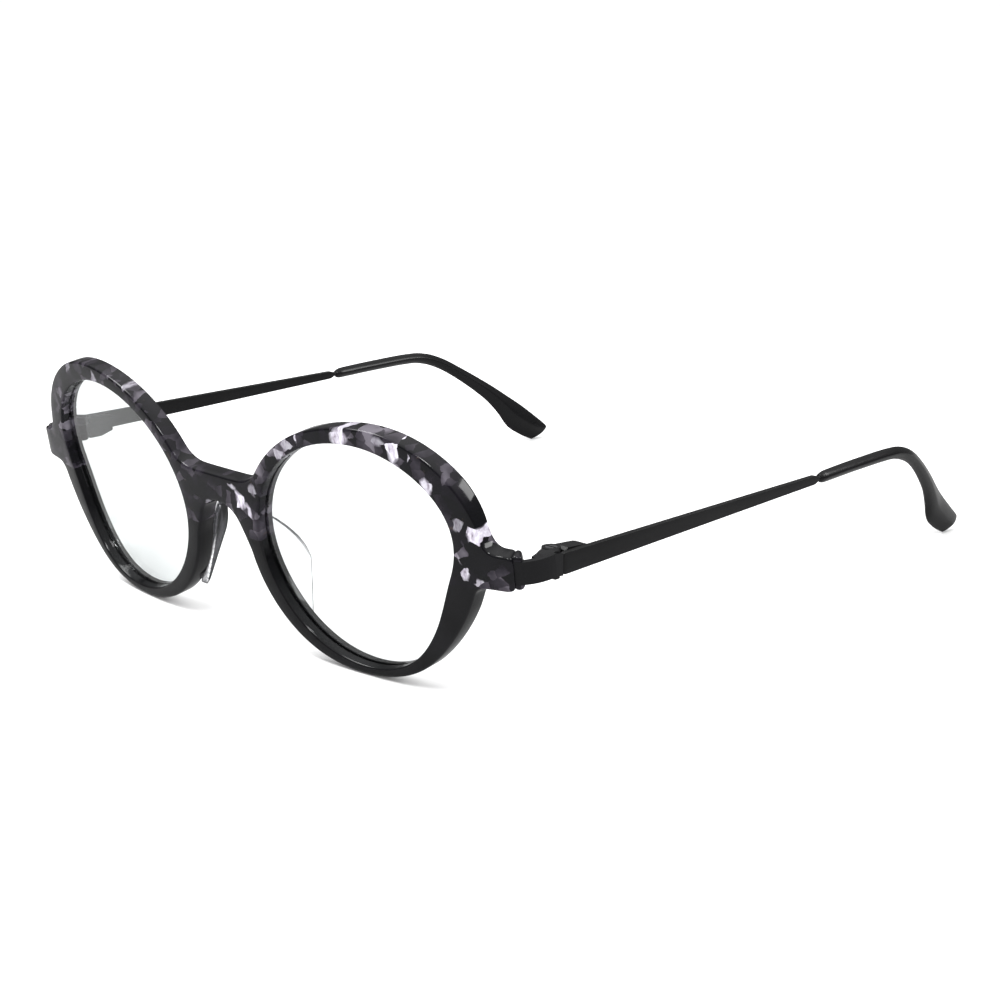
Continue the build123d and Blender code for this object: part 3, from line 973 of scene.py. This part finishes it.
def floor():
    """A very large pale floor under the object."""
    made_material, tree = material("floor_pale")
    where = object_space(tree)
    tone = ramp(tree, noise(tree, where, 3.0, 2.0), ((0.3, 0.90), (0.7, 0.92)))
    dim = node(tree, "ShaderNodeMix", data_type="RGBA", blend_type="MULTIPLY")
    tree.links.new(node(tree, "ShaderNodeLightPath").outputs["Is Glossy Ray"], dim.inputs[0])
    tree.links.new(tone, dim.inputs[6])
    dim.inputs[7].default_value = (FLOOR_IN_GLOSS, FLOOR_IN_GLOSS, FLOOR_IN_GLOSS, 1)
    shader = node(tree, "ShaderNodeBsdfDiffuse", {"Color": dim.outputs[2]})
    output(tree, shader.outputs[0])
    sides = FLOOR_SIDES
    verts = [(0, 0, 0)]
    for radius in FLOOR_RADII:
        for i in range(sides):
            angle = 2 * math.pi * i / sides
            verts.append((radius * math.cos(angle), radius * math.sin(angle), 0))
    faces = [(0, 1 + i, 1 + (i + 1) % sides) for i in range(sides)]
    for ring in range(len(FLOOR_RADII) - 1):
        a = 1 + ring * sides
        b = a + sides
        faces += [(a + i, b + i, b + (i + 1) % sides, a + (i + 1) % sides) for i in range(sides)]
    mesh = bpy.data.meshes.new("floor")
    mesh.from_pydata(verts, [], faces)
    piece = bpy.data.objects.new("floor", mesh)
    bpy.context.scene.collection.objects.link(piece)
    piece.location.z = cad_box[0][2] - FLOOR_GAP
    put(piece, made_material)


def lamp(name, place, target, size, power):
    """A soft square light aimed at a point."""
    data = bpy.data.lights.new(name, "AREA")
    data.shape = "SQUARE"
    data.size = size
    data.energy = power
    light = bpy.data.objects.new(name, data)
    light.location = place
    light.rotation_euler = (Vector(target) - Vector(place)).to_track_quat("-Z", "Y").to_euler()
    bpy.context.scene.collection.objects.link(light)


def world():
    """White studio surround: bright overhead, and dimmer near the floor in what polished faces mirror."""
    made_world = bpy.data.worlds.new("studio")
    made_world.use_nodes = True
    tree = made_world.node_tree
    tree.nodes.clear()
    place = node(tree, "ShaderNodeTexCoord").outputs["Generated"]
    height = node(tree, "ShaderNodeSeparateXYZ", {0: place}).outputs[2]
    in_gloss = ramp(tree, height, ((0.0, 0.12), (0.45, 0.25), (0.9, 1.4)))
    is_glossy = node(tree, "ShaderNodeLightPath").outputs["Is Glossy Ray"]
    plain = (WORLD_LEVEL, WORLD_LEVEL, WORLD_LEVEL, 1)
    level = mix_colour(tree, is_glossy, plain, in_gloss)
    light = node(tree, "ShaderNodeBackground", {"Color": level, "Strength": 1.0})
    node(tree, "ShaderNodeOutputWorld", {"Surface": light.outputs[0]})
    bpy.context.scene.world = made_world


def camera():
    """Camera at the photograph's angle."""
    azimuth = math.radians(43.434)
    elevation = math.radians(15.929)
    distance = 0.49154
    target = Vector((-0.0600, 0.06061, -0.01354))
    back = Vector((
        math.sin(azimuth) * math.cos(elevation),
        -math.cos(azimuth) * math.cos(elevation),
        math.sin(elevation),
    ))
    data = bpy.data.cameras.new("camera")
    data.lens = 67.24
    data.sensor_width = 36.0
    data.clip_start = 0.01
    data.clip_end = 100.0
    made_camera = bpy.data.objects.new("camera", data)
    made_camera.location = target + distance * back
    made_camera.rotation_euler = (-back).to_track_quat("-Z", "Y").to_euler()
    bpy.context.scene.collection.objects.link(made_camera)
    bpy.context.scene.camera = made_camera


floor()
world()
for name, place, size, power in LAMPS:
    lamp(name, place, AIM, size, power)
camera()
scene = bpy.context.scene
scene.view_settings.view_transform = "Standard"
scene.cycles.use_denoising = True
scene.cycles.transparent_max_bounces = 16
